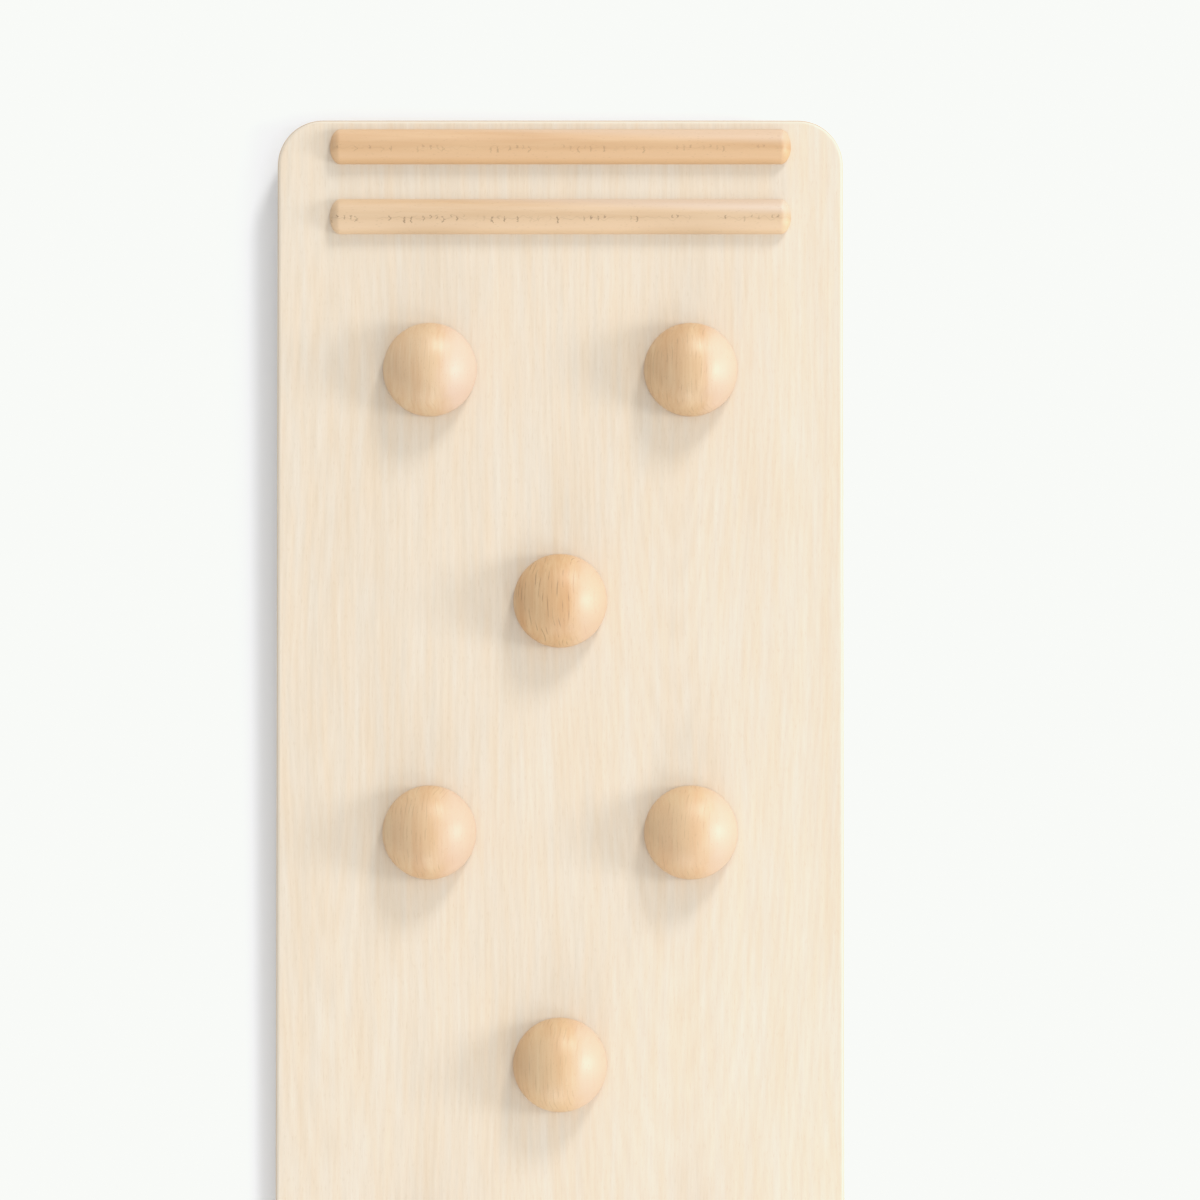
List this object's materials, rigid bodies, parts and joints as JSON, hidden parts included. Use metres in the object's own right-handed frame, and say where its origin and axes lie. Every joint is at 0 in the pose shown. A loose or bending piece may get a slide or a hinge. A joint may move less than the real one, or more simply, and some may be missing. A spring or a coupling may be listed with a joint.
{
  "type": "climbing ramp board",
  "caption": "Long round-cornered wooden ramp board with half-ball climbing knobs on one face, a smooth sliding face behind, and paired half-round battens that seat on a rung.",
  "frame": {"origin": "under the board's centre, level with the crowns of the rear battens, the lowest point when the board lies flat with its climbing face up", "axes": "+X across the board, +Y along it towards the batten end, which is the top when it hangs on a rung, +Z out of the climbing face"},
  "size_m": [0.4, 1.2, 0.0635],
  "materials": {
    "board_ply": "pale straight-grained veneer, clear matt lacquer",
    "batten_beech": "solid beech, clear matt lacquer",
    "knob_beech": "turned beech, clear satin lacquer",
    "plug_beech": "sanded flush, clear matt lacquer",
    "dowel_wood": "plain beech dowel",
    "screw_steel": "zinc-plated steel",
    "insert_brass": "plain brass"
  },
  "bodies": {
    "root": {"board": "board_ply", "front_batten_upper": "batten_beech", "rear_batten_upper": "batten_beech", "batten_screws_upper": "screw_steel", "front_batten_lower": "batten_beech", "rear_batten_lower": "batten_beech", "batten_screws_lower": "screw_steel", "knob_1_left": "knob_beech", "knob_insert_1_left": "insert_brass", "knob_screw_1_left": "screw_steel", "knob_dowel_1_left": "dowel_wood", "screw_plug_1_left": "plug_beech", "knob_1_right": "knob_beech", "knob_insert_1_right": "insert_brass", "knob_screw_1_right": "screw_steel", "knob_dowel_1_right": "dowel_wood", "screw_plug_1_right": "plug_beech", "knob_2_centre": "knob_beech", "knob_insert_2_centre": "insert_brass", "knob_screw_2_centre": "screw_steel", "knob_dowel_2_centre": "dowel_wood", "screw_plug_2_centre": "plug_beech", "knob_3_left": "knob_beech", "knob_insert_3_left": "insert_brass", "knob_screw_3_left": "screw_steel", "knob_dowel_3_left": "dowel_wood", "screw_plug_3_left": "plug_beech", "knob_3_right": "knob_beech", "knob_insert_3_right": "insert_brass", "knob_screw_3_right": "screw_steel", "knob_dowel_3_right": "dowel_wood", "screw_plug_3_right": "plug_beech", "knob_4_centre": "knob_beech", "knob_insert_4_centre": "insert_brass", "knob_screw_4_centre": "screw_steel", "knob_dowel_4_centre": "dowel_wood", "screw_plug_4_centre": "plug_beech", "knob_5_left": "knob_beech", "knob_insert_5_left": "insert_brass", "knob_screw_5_left": "screw_steel", "knob_dowel_5_left": "dowel_wood", "screw_plug_5_left": "plug_beech", "knob_5_right": "knob_beech", "knob_insert_5_right": "insert_brass", "knob_screw_5_right": "screw_steel", "knob_dowel_5_right": "dowel_wood", "screw_plug_5_right": "plug_beech", "knob_6_centre": "knob_beech", "knob_insert_6_centre": "insert_brass", "knob_screw_6_centre": "screw_steel", "knob_dowel_6_centre": "dowel_wood", "screw_plug_6_centre": "plug_beech"}
  },
  "joints": []
}
